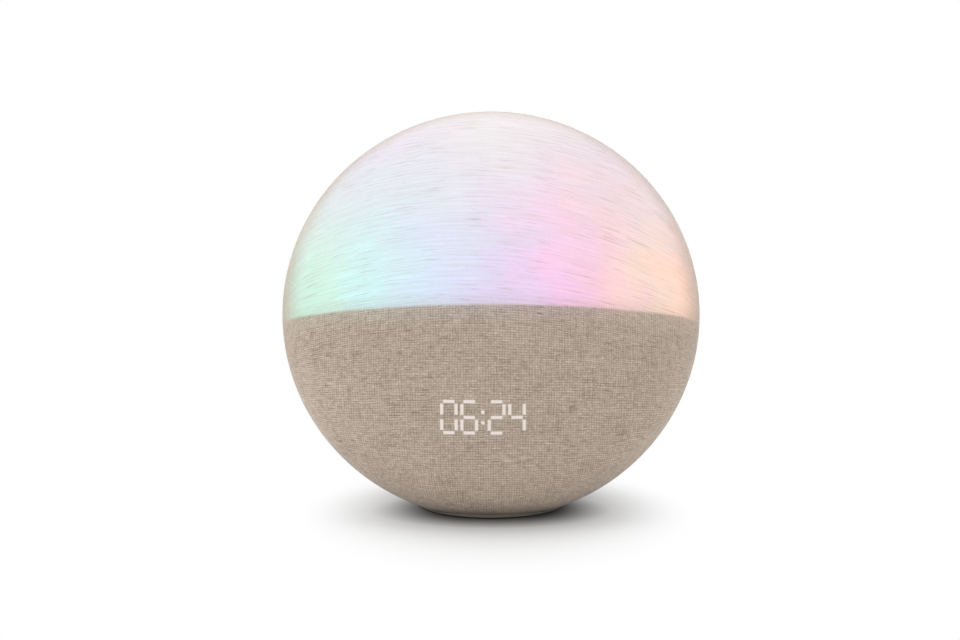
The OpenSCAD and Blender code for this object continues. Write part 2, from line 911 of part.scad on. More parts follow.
module speaker_gasket() {
    color([0.15, 0.15, 0.15])
    at_speaker() difference() {
        ring(basket_r - 1, speaker_flange_r, gasket_t);
        for (turn = [45 : 90 : 315]) rotate([0, 0, turn]) translate([speaker_screw_circle, 0, -1])
            cylinder(r = small_screw_r + bore_gap, h = 4);
    }
}

module speaker_frame() {
    color([0.3, 0.3, 0.32])
    at_speaker() translate([0, 0, gasket_t]) difference() {
        union() {
            ring(basket_r - basket_t, speaker_flange_r, speaker_flange_t);
            rotate_extrude() polygon([[basket_r, speaker_flange_t], [basket_r - basket_t, speaker_flange_t],
                [basket_back_r - basket_t, basket_h], [0, basket_h], [0, basket_h + basket_t],
                [basket_back_r, basket_h + basket_t]]);
        }
        for (turn = [0 : 90 : 270]) rotate([0, 0, turn])
            translate([basket_back_r - 3, -basket_window_w / 2, 3 * basket_t])
                cube([basket_r, basket_window_w, basket_h - 5 * basket_t]);
        for (turn = [45 : 90 : 315]) rotate([0, 0, turn]) translate([speaker_screw_circle, 0, -1])
            cylinder(r = small_screw_r + bore_gap, h = 4);
    }
}

module speaker_cone() {
    color([0.12, 0.12, 0.13])
    at_speaker() translate([0, 0, gasket_t]) rotate_extrude() polygon([
        [0, cap_z], [cap_r, cap_z], [cone_r, 1.6], [roll_r, 0.4], [cone_edge_r, 0.4],
        [cone_edge_r, 0.4 + cone_t], [roll_r + 0.2, 0.4 + cone_t], [cone_r + 0.4, 1.6 + cone_t],
        [cap_r + cone_t, cap_z + 0.8], [cap_r + cone_t, basket_h], [0, basket_h]]);
}

module speaker_magnet() {
    color([0.35, 0.35, 0.37])
    at_speaker() translate([0, 0, gasket_t + basket_h + basket_t]) cylinder(r = magnet_r, h = magnet_h);
}

module speaker_screws() {
    color("silver")
    at_speaker() for (turn = [45 : 90 : 315]) rotate([0, 0, turn])
        translate([speaker_screw_circle, 0, gasket_t + speaker_flange_t])
            mirror([0, 0, 1]) small_screw(gasket_t + speaker_flange_t + speaker_screw_reach);
}

// ---------------------------------------------------------------- buttons and keys

module top_button(side) {
    color([0.7, 0.65, 0.6])
    lean() difference() {
        intersection() {
            rear_dome(-proud);
            on_rear_edge(side * button_azimuth, button_tilt) {
                translate([0, 0, collar_top - collar_t]) cylinder(r = button_r, h = button_r);
                translate([0, 0, collar_top - collar_t]) cylinder(r = collar_r, h = collar_t);
                translate([0, 0, stem_tip]) cylinder(r = plunger_r, h = stem_l + collar_t);
            }
        }
        on_rear_edge(side * button_azimuth, button_tilt) translate([0, 0, dish_r - dish_depth])
            sphere(r = dish_r);
    }
}

module top_board(side) {
    color([0.1, 0.35, 0.2])
    lean() on_rear_edge(side * button_azimuth, button_tilt) difference() {
        block(button_board_w, button_board_h, button_board_top - key_board_t, button_board_top);
        for (along = [-1, 1]) translate([along * button_post_x, 0, button_board_top - 3])
            cylinder(r = small_screw_r + bore_gap, h = 4);
    }
}

module side_key(side) {
    color([0.7, 0.65, 0.6])
    lean() intersection() {
        rear_dome(-proud);
        on_rear_edge(side * key_azimuth, key_tilt) {
            translate([0, 0, key_bottom]) slot(key_l, key_w, 2 * pivot_depth);
            for (along = [-1, 1]) translate([along * key_reach, 0, nub_tip])
                cylinder(r = nub_r, h = nub_l + 1);
            translate([0, axle_l / 2, -pivot_depth]) rotate([90, 0, 0])
                cylinder(r = axle_r, h = axle_l);
            block(2 * axle_r, key_w - 2, -pivot_depth, key_bottom + 1);
        }
    }
}

module key_board(side) {
    color([0.1, 0.35, 0.2])
    lean() on_rear_edge(side * key_azimuth, key_tilt) difference() {
        block(key_board_w, key_w, key_board_top - key_board_t, key_board_top);
        for (along = [-1, 1]) translate([along * key_post_x, 0, key_board_top - 3])
            cylinder(r = small_screw_r + bore_gap, h = 4);
    }
}

module tact_switch() {
    block(switch_size, switch_size, 0, switch_h);
    translate([0, 0, switch_h]) cylinder(r = plunger_r, h = plunger_h);
}

module tact_switches() {
    color([0.2, 0.2, 0.2])
    lean() for (side = [-1, 1]) {
        on_rear_edge(side * button_azimuth, button_tilt)
            translate([0, 0, button_board_top]) tact_switch();
        on_rear_edge(side * key_azimuth, key_tilt)
            for (along = [-1, 1]) translate([along * key_reach, 0, key_board_top]) tact_switch();
    }
}

// ---------------------------------------------------------------- alarm switch and inlet

module at_alarm_switch() {
    lean() translate([0, -switch_drop, pocket_floor]) children();
}

// At rest the knob stands at the off end of its slot
module alarm_switch_knob() {
    color([0.3, 0.28, 0.26])
    at_alarm_switch() translate([-switch_travel / 2, 0, 0]) {
        block(knob_w, knob_h, -knob_gap - knob_t, -knob_gap);
        for (step = [-1, 0, 1]) translate([step * knob_rib_pitch, 0, -knob_gap - knob_t])
            block(knob_rib_w, knob_h, -knob_rib_h, knob_rib_h);
        block(knob_stem_w, knob_stem_h, -knob_t, switch_plate_t + knob_stem_reach);
    }
}

module alarm_switch_body() {
    color([0.6, 0.6, 0.62])
    at_alarm_switch() difference() {
        block(switch_body_w, switch_body_h, switch_plate_t, switch_plate_t + switch_body_d);
        block(knob_stem_w + switch_travel + 2 * slide_gap, knob_stem_h + 2 * slide_gap, 0,
            switch_plate_t + knob_stem_reach + slide_gap);
    }
}

module at_inlet() {
    lean() translate([0, -inlet_drop, inlet_floor]) children();
}

module dc_jack() {
    color([0.12, 0.12, 0.12])
    at_inlet() {
        difference() {
            union() {
                cylinder(r = jack_collar_r, h = inlet_floor_t + 1);
                block(jack_w, jack_w, inlet_floor_t, inlet_floor_t + jack_l);
            }
            translate([0, 0, -1]) cylinder(r = jack_bore_r, h = 1 + inlet_floor_t + jack_l - jack_end_t);
        }
        translate([0, 0, jack_pin_in]) cylinder(r = jack_pin_r, h = inlet_floor_t + jack_l - 2 * jack_pin_in);
    }
}

// ---------------------------------------------------------------- electronics

module main_board() {
    color([0.1, 0.35, 0.2])
    lean() difference() {
        translate([0, main_top - main_h / 2, 0]) block(main_w, main_h, main_back, main_z);
        for (p = main_screws) translate([p.x, p.y, main_back - 1])
            cylinder(r = small_screw_r + bore_gap, h = board_t + 2);
    }
}

// On the back of the main board: origin in the board's middle, +Z away from it
module on_main_board() {
    lean() translate([0, main_top - main_h / 2, main_back]) mirror([0, 0, 1]) children();
}

module board_part(part) {
    translate([part[0], part[1], 0]) block(part[2], part[3], 0, part[4]);
}

module main_board_chips() {
    color([0.15, 0.15, 0.16])
    on_main_board() {
        board_part(processor);
        board_part(memory_chip);
        board_part(power_coil);
        for (p = capacitors) translate([p.x, p.y, 0]) cylinder(r = capacitor_r, h = capacitor_h);
    }
}

module wifi_module() {
    color([0.75, 0.76, 0.78])
    on_main_board() board_part(wifi_box);
}

module board_screws() {
    color("silver")
    lean() {
        for (p = main_screws) translate([p.x, p.y, main_back]) small_screw(board_t + main_gap + 1);
        on_display() for (side = [-1, 1])
            translate([side * display_post_x, 0, -mask_depth - board_t])
                small_screw(board_t + board_screw_reach);
        for (side = [-1, 1], along = [-1, 1]) {
            on_rear_edge(side * button_azimuth, button_tilt)
                translate([along * button_post_x, 0, button_board_top - key_board_t])
                    small_screw(key_board_t + board_screw_reach);
            on_rear_edge(side * key_azimuth, key_tilt)
                translate([along * key_post_x, 0, key_board_top - key_board_t])
                    small_screw(key_board_t + board_screw_reach);
        }
    }
}

// ---------------------------------------------------------------- cables

// A point below the rear edge's surface, in the body's frame
function below_rear_edge(z, azimuth, tilt) = let (
    out = body_r - rear_edge_r + (rear_edge_r + z) * cos(tilt)) [
    out * sin(azimuth), out * cos(azimuth), -(rear_edge_r + z) * sin(tilt)];

// Flat ribbon, straight from the display board through the frame's window to the main board
module display_cable() {
    color([0.7, 0.7, 0.7])
    lean() intersection() {
        on_display() block(ribbon_w, ribbon_t, -far, -mask_depth - board_t);
        translate([-far, -far, main_z]) cube(2 * far);
    }
}

module led_cable() {
    color([0.85, 0.2, 0.15])
    lean() wire([
        [0, led_cable_y, led_board_z],
        [0, led_cable_y, wire_z],
        [0, main_top - led_plug_drop, wire_z],
        [0, main_top - led_plug_drop, main_z]], wire_d);
}

module speaker_cable() {
    reach = (basket_r + speaker_flange_r) / 2;
    x = reach * sin(speaker_cable_turn);
    y = speaker_up - reach * cos(speaker_cable_turn);
    z = speaker_z + gasket_t + speaker_flange_t;
    color([0.8, 0.75, 0.2])
    lean() wire([
        [x, y, z],
        [x, y, z + 2 * cable_stub],
        [x, main_top - speaker_plug_drop, main_back - 2 * cable_stub],
        [x, main_top - speaker_plug_drop, main_back]], wire_d);
}

module power_cable() {
    jack_end = inlet_floor + inlet_floor_t + jack_l;
    color([0.1, 0.1, 0.1])
    lean() rod([0, -inlet_drop, jack_end], [0, -inlet_drop, main_back], power_wire_r);
}

// From each of the four key boards and from the alarm switch to the main board
module key_cables() {
    top_end = button_board_top - key_board_t;
    side_end = key_board_top - key_board_t;
    color([0.6, 0.6, 0.65])
    lean() for (side = [-1, 1]) {
        wire([
            below_rear_edge(top_end, side * button_azimuth, button_tilt),
            below_rear_edge(top_end - cable_stub, side * button_azimuth, button_tilt),
            [side * wire_x, tray_r - top_wire_inset, wire_z],
            [side * wire_x, main_top - top_plug_drop, wire_z],
            [side * wire_x, main_top - top_plug_drop, main_z]], wire_d);
        wire([
            below_rear_edge(side_end, side * key_azimuth, key_tilt),
            below_rear_edge(side_end - cable_stub, side * key_azimuth, key_tilt),
            [side * (tray_r - side_wire_inset), main_top - side_plug_drop, wire_z],
            [side * (wire_x + side_plug_shift), main_top - side_plug_drop, wire_z],
            [side * (wire_x + side_plug_shift), main_top - side_plug_drop, main_z]], wire_d);
    }
    lean() rod([0, -switch_drop, pocket_floor + switch_plate_t + switch_body_d],
        [0, -switch_drop, main_back], wire_d / 2);
}

// ---------------------------------------------------------------- choice of what is drawn

fabric_cover();
light_diffuser();
lower_baffle();
light_divider();
reflector_tray();
led_board();
led_chips();
led_screws();
display_mask();
display_segments();
display_board();
display_leds();
mid_frame();
front_screws();
rear_shell();
base_pan();
rubber_foot();
base_screws();
speaker_grille();
speaker_gasket();
speaker_frame();
speaker_cone();
speaker_magnet();
speaker_screws();
top_button(-1);  // top_button_left
top_button(1);  // top_button_right
top_board(-1);  // top_board_left
top_board(1);  // top_board_right
side_key(-1);  // brightness_key
side_key(1);  // volume_key
key_board(-1);  // key_board_left
key_board(1);  // key_board_right
tact_switches();
alarm_switch_knob();
alarm_switch_body();
dc_jack();
main_board();
main_board_chips();
wifi_module();
board_screws();
display_cable();
led_cable();
speaker_cable();
power_cable();
key_cables();
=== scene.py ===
# %% [markdown]
# # A sunrise alarm clock
#
# This lesson dresses a finished model in Blender. The model is a round bedside light,
# shaped like a thick lens, that leans back on a small foot. One piece of woven cloth
# covers its whole front. The upper half of the front is lit from inside in soft dawn
# colours, and four digits shine through the cloth of the lower half.
#
# The shapes of the hard parts come from a CAD frame, which stays exactly as it is. The
# steps below give each of them a finish, and replace the plain cloth solid with a cloth
# that has a weave, a rolled edge and glowing digits.

# %% Load the frame
import json
import math

import bmesh
import bpy
from mathutils import Matrix, Vector


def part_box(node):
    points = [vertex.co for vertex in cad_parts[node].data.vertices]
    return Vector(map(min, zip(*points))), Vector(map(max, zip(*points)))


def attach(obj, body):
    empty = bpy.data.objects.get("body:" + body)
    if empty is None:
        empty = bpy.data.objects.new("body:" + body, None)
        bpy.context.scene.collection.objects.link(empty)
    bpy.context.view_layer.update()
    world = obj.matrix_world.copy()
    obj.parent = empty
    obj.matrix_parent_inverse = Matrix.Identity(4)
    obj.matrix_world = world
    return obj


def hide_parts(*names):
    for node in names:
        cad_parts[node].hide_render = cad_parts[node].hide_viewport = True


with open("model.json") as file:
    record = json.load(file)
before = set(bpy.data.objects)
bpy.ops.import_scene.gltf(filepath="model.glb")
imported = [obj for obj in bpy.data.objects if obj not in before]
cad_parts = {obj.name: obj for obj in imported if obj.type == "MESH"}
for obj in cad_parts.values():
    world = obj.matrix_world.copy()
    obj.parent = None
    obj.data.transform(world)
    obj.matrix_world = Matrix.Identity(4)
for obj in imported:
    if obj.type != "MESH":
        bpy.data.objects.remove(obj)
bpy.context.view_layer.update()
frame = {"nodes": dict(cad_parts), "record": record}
nodes = frame["nodes"]

# %% [markdown]
# ## Sizes
#
# Everything is in metres. The front is a shallow dome: a large arc, the crown, runs into
# a small arc, the edge, that turns back to the widest line, the rim. The body has its own
# frame, which is easier to think in than the room's: X to the right, Y up the face and Z
# straight out of the face. `lean` turns that frame into the room's.

# %% The body's own frame
MM = 0.001
LEAN_BACK = math.radians(16)
BODY_R = 103 * MM
FRONT_BULGE = 54 * MM
EDGE_R = 37.5 * MM
SEAM_Y = -14.2 * MM
CROWN_R = ((BODY_R - EDGE_R) ** 2 + FRONT_BULGE ** 2 - EDGE_R ** 2) / (2 * (FRONT_BULGE - EDGE_R))
CROWN_CENTRE = Vector((0, 0, FRONT_BULGE - CROWN_R))
TANGENT = math.asin((BODY_R - EDGE_R) / (CROWN_R - EDGE_R))

# The shell ends on top of the base pan, and so does the cloth
pan_low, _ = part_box("rear_shell")
PAN_TOP = pan_low.z
# Middle of the rim, in the room
RIM_CENTRE = Vector((0, 2.987 * MM, 97.163 * MM))
lean = Matrix.Translation(RIM_CENTRE) @ Matrix.Rotation(math.pi / 2 - LEAN_BACK, 4, "X")
unlean = lean.inverted()
print("crown radius", round(CROWN_R / MM, 2), "mm")
print("the cover ends", round(PAN_TOP / MM, 2), "mm above the table")

# %% [markdown]
# ## Camera
#
# The camera stands close to the clock, about level with its middle, and looks straight
# ahead. A slight shift, like the rise and fall of a view camera, frames the clock
# without tilting the lens, so upright lines stay upright.

# %% Camera
CAMERA_AT = Vector((0, -413.0 * MM, 95.3 * MM))
LENS_MM = 31.2
SENSOR_MM = 36
SHIFT = Vector((-0.0115, -0.0108))
NEAR_CLIP = 10 * MM

camera_data = bpy.data.cameras.new("camera")
camera_data.sensor_width = SENSOR_MM
camera_data.lens = LENS_MM
camera_data.shift_x, camera_data.shift_y = SHIFT
camera_data.clip_start = NEAR_CLIP
camera = bpy.data.objects.new("camera", camera_data)
camera.location = CAMERA_AT
camera.rotation_euler = (math.pi / 2, 0, 0)
bpy.context.scene.collection.objects.link(camera)
bpy.context.scene.camera = camera
bpy.context.scene.view_settings.view_transform = "Standard"
print("camera", round((CAMERA_AT - RIM_CENTRE).length, 3), "m from the clock")

# %% [markdown]
# ## Helpers for materials
#
# Materials are small programs made of nodes. These helpers keep them short: `put` sets a
# socket to a value or joins it to another socket, `maths` adds one arithmetic node, and
# `paint` turns a colour as a paint chart gives it, from 0 to 255, into the linear values
# that the renderer uses. `between` makes a soft step out of any value, and `noise` makes
# the unevenness that every real surface has.

# %% Helpers for materials
def paint(red, green, blue):
    """A colour from 0 to 255 as the renderer's linear values, by the usual screen curve."""
    def linear(value):
        value = value / 255
        return value / 12.92 if value <= 0.04045 else ((value + 0.055) / 1.055) ** 2.4
    return (linear(red), linear(green), linear(blue), 1)


def put(tree, socket, value):
    if isinstance(value, bpy.types.NodeSocket):
        tree.links.new(value, socket)
    else:
        socket.default_value = value


def maths(tree, operation, *values):
    node = tree.nodes.new("ShaderNodeMath")
    node.operation = operation
    for socket, value in zip(node.inputs, values):
        put(tree, socket, value)
    return node.outputs[0]


def between(tree, value, low, high):
    """0 below low, 1 above high and a soft step from one to the other."""
    node = tree.nodes.new("ShaderNodeMapRange")
    node.interpolation_type = "SMOOTHSTEP"
    put(tree, node.inputs["Value"], value)
    put(tree, node.inputs["From Min"], low)
    put(tree, node.inputs["From Max"], high)
    return node.outputs["Result"]


def scaled(tree, value, low, high):
    """Stretches a value from 0..1 to low..high."""
    node = tree.nodes.new("ShaderNodeMapRange")
    put(tree, node.inputs["Value"], value)
    put(tree, node.inputs["To Min"], low)
    put(tree, node.inputs["To Max"], high)
    return node.outputs["Result"]


def mix(tree, factor, first, second, blend="MIX"):
    node = tree.nodes.new("ShaderNodeMix")
    node.data_type = "RGBA"
    node.blend_type = blend
    put(tree, node.inputs["Factor"], factor)
    put(tree, node.inputs["A"], first)
    put(tree, node.inputs["B"], second)
    return node.outputs["Result"]


def ramp(tree, factor, stops):
    """A colour ramp; stops is a list of (place, colour)."""
    node = tree.nodes.new("ShaderNodeValToRGB")
    elements = node.color_ramp.elements
    while len(elements) < len(stops):
        elements.new(0.5)
    for element, (place, colour) in zip(elements, stops):
        element.position = place
        element.color = colour
    put(tree, node.inputs["Fac"], factor)
    return node.outputs["Color"]


def joined(tree, x, y, z):
    node = tree.nodes.new("ShaderNodeCombineXYZ")
    for socket, value in zip(node.inputs, (x, y, z)):
        put(tree, socket, value)
    return node.outputs[0]


def separated(tree, vector):
    node = tree.nodes.new("ShaderNodeSeparateXYZ")
    put(tree, node.inputs[0], vector)
    return node.outputs["X"], node.outputs["Y"], node.outputs["Z"]


def tinted(tree, colour, factor):
    """A colour made darker or brighter by a factor."""
    return mix(tree, 1.0, colour, joined(tree, factor, factor, factor), "MULTIPLY")


def set_values(node, values):
    for name, value in values.items():
        node.inputs[name].default_value = value


def noise(tree, vector, scale, detail=2.0, roughness=0.5):
    node = tree.nodes.new("ShaderNodeTexNoise")
    put(tree, node.inputs["Vector"], vector)
    set_values(node, {"Scale": scale, "Detail": detail, "Roughness": roughness})
    return node.outputs["Fac"]


def bump(tree, height, strength, distance):
    node = tree.nodes.new("ShaderNodeBump")
    put(tree, node.inputs["Height"], height)
    set_values(node, {"Strength": strength, "Distance": distance})
    return node.outputs["Normal"]


def new_material(name):
    material = bpy.data.materials.new(name)
    material.use_nodes = True
    tree = material.node_tree
    return material, tree, tree.nodes["Principled BSDF"]


def place_on_object(tree):
    return tree.nodes.new("ShaderNodeTexCoord").outputs["Object"]


print("helpers ready")

# %% [markdown]
# ## The cloth's shape
#
# The cover is a disc of cloth, stretched over the dome and turned in at the rim. A dome
# is a solid of revolution, so it is made the way a potter makes a bowl: draw half of its
# section once, then spin that line round the axis. The section has only two arcs and a
# small roll at the rim, where the cloth turns in.
#
# The base pan cuts the dome's lower edge off level, just above the table.

# %% Draw and spin the section
CLOTH_T = 1.0 * MM
ROLL_R = 0.5 * MM
CROWN_STEPS = 44
EDGE_STEPS = 20
ROLL_STEPS = 4
SPIN_STEPS = 224
MERGE_WITHIN = 0.01 * MM


def arc(centre_rho, centre_z, radius, first, last, steps):
    """Points of an arc in the section's plane; angles run from the axis outwards."""
    for step in range(steps + 1):
        angle = first + (last - first) * step / steps
        rho = centre_rho + radius * math.sin(angle)
        yield Vector((rho, 0, centre_z + radius * math.cos(angle)))


def cover_section():
    """Half of the section: the crown, the edge without its last bit, and the roll."""
    points = list(arc(0, CROWN_CENTRE.z, CROWN_R, 0, TANGENT, CROWN_STEPS))
    upright = math.pi / 2 - ROLL_R / EDGE_R
    points += list(arc(BODY_R - EDGE_R, 0, EDGE_R, TANGENT, upright, EDGE_STEPS))[1:]
    points += list(arc(BODY_R - ROLL_R, ROLL_R, ROLL_R, math.pi / 2, math.pi, ROLL_STEPS))[1:]
    return points


cover_bm = bmesh.new()
section = [cover_bm.verts.new(point) for point in cover_section()]
section_edges = [cover_bm.edges.new(pair) for pair in zip(section, section[1:])]
bmesh.ops.spin(cover_bm, geom=section + section_edges, cent=(0, 0, 0), axis=(0, 0, 1),
               angle=2 * math.pi, steps=SPIN_STEPS, use_merge=True)
bmesh.ops.remove_doubles(cover_bm, verts=cover_bm.verts, dist=MERGE_WITHIN)
bmesh.ops.recalc_face_normals(cover_bm, faces=cover_bm.faces)
bmesh.ops.transform(cover_bm, matrix=lean, verts=cover_bm.verts)
everything = cover_bm.verts[:] + cover_bm.edges[:] + cover_bm.faces[:]
bmesh.ops.bisect_plane(cover_bm, geom=everything, plane_co=(0, 0, PAN_TOP),
                       plane_no=(0, 0, 1), clear_inner=True)
print("cover:", len(cover_bm.faces), "faces")

# %% [markdown]
# ## Digits behind the cloth
#
# The display is a block with thirty light pipes that ends just behind the cloth. Its
# light soaks through the threads, so each bar has soft edges. Nothing lies on the cloth:
# the glow is a number stored at each point of the cloth's mesh, 1 over a lit bar and 0
# away from it, and the cloth's material reads it. The mesh is made finer there first, so
# that the bars come out sharp enough.

# %% Where the bars are
DISPLAY_X = -3.5 * MM
DISPLAY_DROP = math.radians(20.8)
DIGIT_W = 6.3 * MM
DIGIT_H = 13.7 * MM
DIGIT_PITCH = 8.8 * MM
COLON_PITCH = 5.9 * MM
BAR_W = 1.4 * MM
BAR_WEB = 0.35 * MM
COLON_DOTS = 4.6 * MM
DOT_R = 0.85 * MM
BLUR = 0.45 * MM

# Middle of each bar of a digit, in digit widths and heights, and whether it stands up
BARS = {
    "top": (0, 0.5, False), "middle": (0, 0, False), "bottom": (0, -0.5, False),
    "upper_left": (-0.5, 0.25, True), "upper_right": (0.5, 0.25, True),
    "lower_left": (-0.5, -0.25, True), "lower_right": (0.5, -0.25, True)}
UNLIT = {"0": {"middle"}, "6": {"upper_right"}, "2": {"upper_left", "lower_right"},
         "4": {"top", "bottom", "lower_left"}}
PLACES = (-COLON_PITCH - DIGIT_PITCH, -COLON_PITCH, COLON_PITCH, COLON_PITCH + DIGIT_PITCH)

lit = []
for figure, place in zip("0624", PLACES):
    for bar, (x, y, stands) in BARS.items():
        if bar not in UNLIT[figure]:
            half = (BAR_W / 2, DIGIT_H / 4 - BAR_W / 2 - BAR_WEB)
            if not stands:
                half = (DIGIT_W / 2 - BAR_W / 2, BAR_W / 2)
            lit.append((place + x * DIGIT_W, y * DIGIT_H, *half))
print(len(lit), "bars are lit")

display = Matrix.Translation(CROWN_CENTRE) @ Matrix.Rotation(DISPLAY_DROP, 4, "X") \
    @ Matrix.Translation((DISPLAY_X, 0, CROWN_R))
to_display = (lean @ display).inverted()


def glow_at(point):
    """How brightly the display shines at a point, from 0 to 1."""
    here = to_display @ point
    nearest = min(math.hypot(here.x, here.y - side * COLON_DOTS / 2) - DOT_R for side in (-1, 1))
    for x, y, half_w, half_h in lit:
        dx = abs(here.x - x) - half_w
        dy = abs(here.y - y) - half_h
        outside = math.hypot(max(dx, 0), max(dy, 0)) + min(max(dx, dy), 0)
        nearest = min(nearest, outside)
    step = min(max(0.5 - nearest / BLUR, 0), 1)
    return step * step * (3 - 2 * step)


# %% Make the mesh finer over the display
FINE_HALF = Vector((23 * MM, 9 * MM))
FINE_DEPTH = 10 * MM
FINE_CUTS = 8


def over_display(point):
    here = to_display @ point
    return abs(here.x) < FINE_HALF.x and abs(here.y) < FINE_HALF.y and here.z > -FINE_DEPTH


crown_centre = lean @ CROWN_CENTRE
coarse = [face for face in cover_bm.faces if over_display(face.calc_center_median())]
fine_edges = list({edge for face in coarse for edge in face.edges})
made = bmesh.ops.subdivide_edges(cover_bm, edges=fine_edges, cuts=FINE_CUTS, use_grid_fill=True)
for vert in {item for item in made["geom_inner"] if isinstance(item, bmesh.types.BMVert)}:
    vert.co = crown_centre + (vert.co - crown_centre).normalized() * CROWN_R
print("cover:", len(cover_bm.faces), "faces with the fine patch")

# %% [markdown]
# ## The cloth's own map
#
# Threads run along the cloth, not along the room, so the weave needs coordinates that
# lie on the cloth. Cloth hardly stretches: a thread keeps its distance from the middle
# of the face, measured over the dome. So each point's place on the map is its direction
# from the middle, times the length of the section's arc up to it.
#
# The rows bow as well. The cloth was pulled upwards more in the middle than at its sides,
# so in the upper half the rows hang down towards both sides. Lower down they straighten.

# %% Map the cloth
# Radius of a bowed row, the place of its highest point, and the height over which it sets in
BOW_R = 320 * MM
BOW_MIDDLE = -20 * MM
BOW_FADE = 45 * MM


def arc_length(rho, z):
    """Distance from the middle of the face to a point of the dome, along the section."""
    if rho < BODY_R - EDGE_R or z > EDGE_R * math.cos(TANGENT):
        return CROWN_R * math.asin(min(rho / CROWN_R, 1))
    turn = math.atan2(rho - (BODY_R - EDGE_R), z)
    return CROWN_R * TANGENT + EDGE_R * (turn - TANGENT)


def on_cloth(point):
    here = unlean @ point
    rho = math.hypot(here.x, here.y)
    stretch = arc_length(rho, here.z) / rho if rho > MM / 10 else 1
    u, v = here.x * stretch, here.y * stretch
    pull = min(max((v + BOW_FADE) / BOW_FADE, 0), 1)
    return u, v + pull * (u - BOW_MIDDLE) ** 2 / (2 * BOW_R)


uv_layer = cover_bm.loops.layers.uv.new("cloth")
for face in cover_bm.faces:
    for loop in face.loops:
        loop[uv_layer].uv = on_cloth(loop.vert.co)

cover_mesh = bpy.data.meshes.new("woven_cover")
cover_bm.to_mesh(cover_mesh)
cover_bm.free()
glow = cover_mesh.attributes.new("glow", "FLOAT", "POINT")
for index, vert in enumerate(cover_mesh.vertices):
    glow.data[index].value = glow_at(vert.co) if over_display(vert.co) else 0
for polygon in cover_mesh.polygons:
    polygon.use_smooth = True

cover = bpy.data.objects.new("woven_cover", cover_mesh)
bpy.context.scene.collection.objects.link(cover)
thickness = cover.modifiers.new("cloth thickness", "SOLIDIFY")
thickness.thickness = CLOTH_T
thickness.offset = -1
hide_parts("fabric_cover")
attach(cover, "housing")

# %% [markdown]
# ## The weave
#
# Linen is a plain weave: each weft thread goes over one warp thread and under the next.
# Two waves make it. Across a thread, its height is a rounded bump with a narrow gap on
# each side. Along it, the height rises and falls as the thread passes over and under, and
# its neighbours do so in turn. Whichever thread is higher is the one that shows.
#
# What makes it look like linen is that the yarn is uneven: every thread gets thicker and
# thinner along its way, with no link to its neighbours. That is noise with one place per
# thread, slow along the thread. Fine fluff on the yarn makes the last, smallest grain.
#
# The colours need three more kinds of unevenness. `slubs` are long thin blotches, `lines`
# are single threads that stand out, crowded in some places and rare in others, and
# `knots` are short thick spots. A seed is the third coordinate of a noise: each pattern
# is another slice of it, so no two are alike.

# %% Threads
# Spacing of the threads: the weft runs across the face and the warp runs up it
WEFT_PITCH = 1.1 * MM
WARP_PITCH = 1.2 * MM
# Length over which the yarn of a thread changes, and what it does to the thread's height
WEFT_LENGTH = 3.2 * MM
WARP_LENGTH = 1.8 * MM
WEFT_YARN = (0.7, 1.25)
WARP_YARN = (0.65, 1.15)
YARN_EDGE = (0.3, 0.7)
# How far a thread strays from its straight line, and how often it does in a metre
RIPPLE = 0.9 * MM
RIPPLE_SCALE = 60
# Step from thread to thread in the noise, wide enough that neighbours share nothing
THREAD_STEP = 7.3
# The bump across a thread: a power under 1 makes it rounder and the gaps narrower
ROUNDNESS = 0.5
THREAD_HEIGHT = (0.05, 0.56)
OVER_UNDER = 0.12
# Size of the fluff, and what it does to the height
FLUFF = 0.6 * MM
FLUFF_SHARE = (0.5, 1.4)
# Single threads that stand out, and the groups that they come in
LINE_T = 0.6 * MM
LINE_EDGE = (0.59, 0.69)
GROUP_SIZE = 22 * MM
GROUP_SHIFT = 0.14
# Knots
KNOT_LENGTH = 1.4 * MM
KNOT_T = 0.7 * MM
KNOT_EDGE = (0.72, 0.84)


def threads(tree, along, across, pitch, length, seed):
    """Parallel threads: a wave that crosses zero between them, and their yarn from 0 to 1."""
    slow = noise(tree, joined(tree, along, across, seed), RIPPLE_SCALE, detail=3.0, roughness=0.6)
    strayed = maths(tree, "ADD", across, scaled(tree, slow, -RIPPLE, RIPPLE))
    place = maths(tree, "DIVIDE", strayed, pitch)
    number = maths(tree, "MULTIPLY", maths(tree, "FLOOR", place), THREAD_STEP)
    way = maths(tree, "DIVIDE", along, length)
    yarn = noise(tree, joined(tree, way, number, seed), 1.0, detail=3.0, roughness=0.65)
    wave = maths(tree, "SINE", maths(tree, "MULTIPLY", place, math.pi))
    return wave, between(tree, yarn, *YARN_EDGE)


def thread_height(tree, wave, yarn, yarn_share, rise_or_fall, over):
    """Height of one set of threads: a bump across each, higher or lower at a crossing."""
    bulge = maths(tree, "POWER", maths(tree, "ABSOLUTE", wave), ROUNDNESS)
    height = maths(tree, rise_or_fall, scaled(tree, bulge, *THREAD_HEIGHT), over)
    return maths(tree, "MULTIPLY", height, scaled(tree, yarn, *yarn_share))


def weave(tree, u, v):
    """Height of the cloth's surface: about 0 in the gaps and 1 on a thick thread."""
    weft_wave, weft_yarn = threads(tree, u, v, WEFT_PITCH, WEFT_LENGTH, seed=1.0)
    warp_wave, warp_yarn = threads(tree, v, u, WARP_PITCH, WARP_LENGTH, seed=2.0)
    over = maths(tree, "MULTIPLY", maths(tree, "MULTIPLY", weft_wave, warp_wave), OVER_UNDER)
    weft = thread_height(tree, weft_wave, weft_yarn, WEFT_YARN, "ADD", over)
    warp = thread_height(tree, warp_wave, warp_yarn, WARP_YARN, "SUBTRACT", over)
    fluff = noise(tree, joined(tree, u, v, 3.0), 1 / FLUFF, roughness=0.7)
    higher = maths(tree, "MAXIMUM", weft, warp)
    return maths(tree, "MULTIPLY", higher, scaled(tree, fluff, *FLUFF_SHARE))


